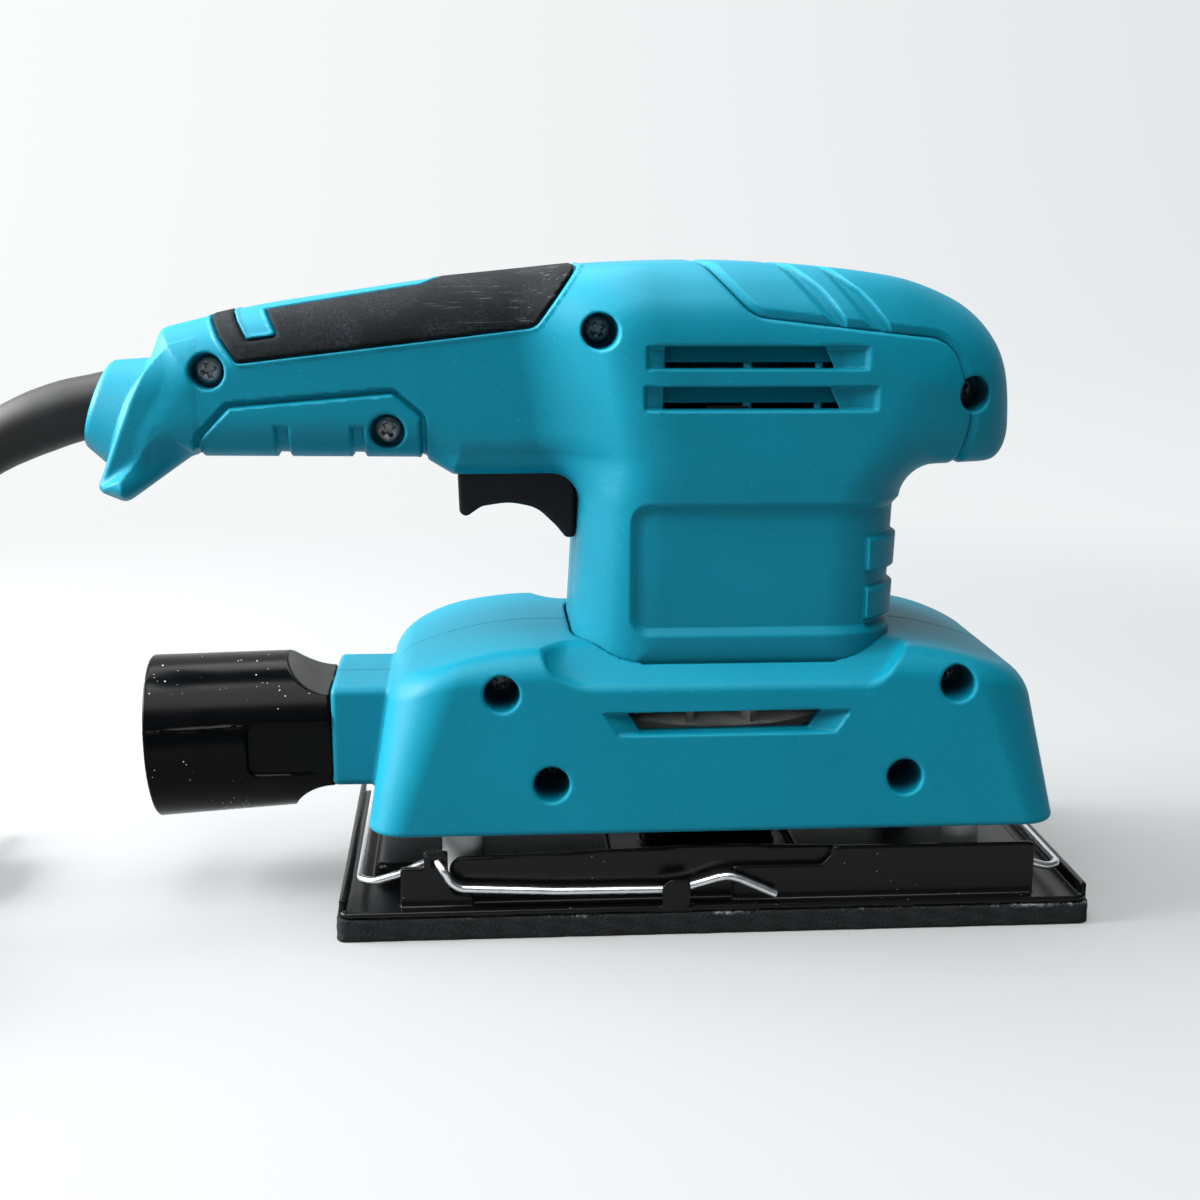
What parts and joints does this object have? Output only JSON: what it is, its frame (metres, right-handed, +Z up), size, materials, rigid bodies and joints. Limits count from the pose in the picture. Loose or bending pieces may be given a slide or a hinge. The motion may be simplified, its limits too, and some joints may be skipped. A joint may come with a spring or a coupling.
{
  "type": "orbital sander",
  "caption": "Third-sheet orbital sander with a teal two-part housing, rear handle with soft grip, trigger, dust nozzle, mains cord and a foam pad with wire paper clamps.",
  "frame": {"origin": "centre of the sanding face, the underside of the foam pad", "axes": "+Z up from the sanding face, +X along the tool from the cord towards the head, +Y towards the left side seen from behind"},
  "size_m": [0.387, 0.157, 0.1599],
  "materials": {
    "teal_plastic": "satin, fine moulded grain",
    "grip_rubber": "matt, soft, fine texture",
    "screw_steel": "zinc plated",
    "black_plastic": "satin black",
    "spring_steel": "bright drawn wire",
    "cord_rubber": "smooth, slightly glossy",
    "pin_metal": "nickel plated",
    "core_steel": "laminated and ground steel",
    "copper": "enamelled copper",
    "bearing_steel": "ground steel",
    "bracket_metal": "die cast",
    "brass": "stamped brass",
    "carbon": "pressed carbon",
    "fan_plastic": "moulded, dull",
    "leg_rubber": "light grey, matt",
    "black_paint": "glossy black paint on pressed steel",
    "foam": "closed-cell foam with a grainy face",
    "gloss_black": "polished moulding"
  },
  "bodies": {
    "housing": {"upper_housing_right": "teal_plastic", "upper_housing_left": "teal_plastic", "head_cap": "teal_plastic", "base_housing_right": "teal_plastic", "base_housing_left": "teal_plastic", "grip_right": "grip_rubber", "grip_left": "grip_rubber", "housing_screws": "screw_steel", "cap_screws": "screw_steel", "base_screws": "screw_steel", "trigger_spring": "spring_steel", "switch_body": "black_plastic", "inner_lead": "cord_rubber", "cord_clamp": "black_plastic", "clamp_screws": "screw_steel", "cord_guard": "grip_rubber", "cord": "cord_rubber", "cord_coil": "cord_rubber", "cord_tail": "cord_rubber", "plug_body": "black_plastic", "plug_pins": "pin_metal", "field_core": "core_steel", "field_coils": "copper", "upper_bearing": "bearing_steel", "lower_bearing": "bearing_steel", "bearing_bracket": "bracket_metal", "brush_holders": "brass", "carbon_brushes": "carbon", "brush_springs": "spring_steel", "rubber_legs": "leg_rubber"},
    "rotor": {"motor_shaft": "core_steel", "armature_core": "core_steel", "armature_winding": "copper", "commutator": "copper", "fan": "fan_plastic", "counterweight": "core_steel", "eccentric": "core_steel", "pad_screw": "screw_steel"},
    "pad": {"base_plate": "black_paint", "foam_pad": "foam", "pad_bearing": "bearing_steel", "leg_screws": "screw_steel"},
    "clamp_rear": {"clamp_rear": "spring_steel"},
    "clamp_front": {"clamp_front": "spring_steel"},
    "trigger": {"trigger": "black_plastic"},
    "nozzle": {"dust_nozzle": "gloss_black"}
  },
  "joints": [
    {"name": "shaft_spin", "type": "hinge", "parent": "housing", "child": "rotor", "pos_m": [0.002, 0, 0.08], "axis": [0, 0, 1], "continuous": true},
    {"name": "pad_orbit", "type": "hinge", "parent": "rotor", "child": "pad", "pos_m": [0.003, 0, 0.017], "axis": [0, 0, 1], "continuous": true, "deforming": ["rubber_legs"]},
    {"name": "trigger_squeeze", "type": "slide", "parent": "housing", "child": "trigger", "axis": [0, 0, 1], "range_m": [0, 0.005], "stiffness_N_per_m": 600, "springref_m": -0.002, "deforming": ["trigger_spring"]},
    {"name": "rear_clamp_lift", "type": "hinge", "parent": "pad", "child": "clamp_rear", "pos_m": [-0.0682, 0, 0.0184], "axis": [0, -1, 0], "range_deg": [0, 7]},
    {"name": "front_clamp_lift", "type": "hinge", "parent": "pad", "child": "clamp_front", "pos_m": [0.0682, 0, 0.0184], "axis": [0, 1, 0], "range_deg": [0, 7]},
    {"name": "nozzle_pull", "type": "slide", "parent": "housing", "child": "nozzle", "axis": [-0.999, 0, -0.0454], "range_m": [0, 0.014]}
  ],
  "couplings": [
    {"joint": "pad_orbit", "follows": "shaft_spin", "ratio": -1}
  ]
}
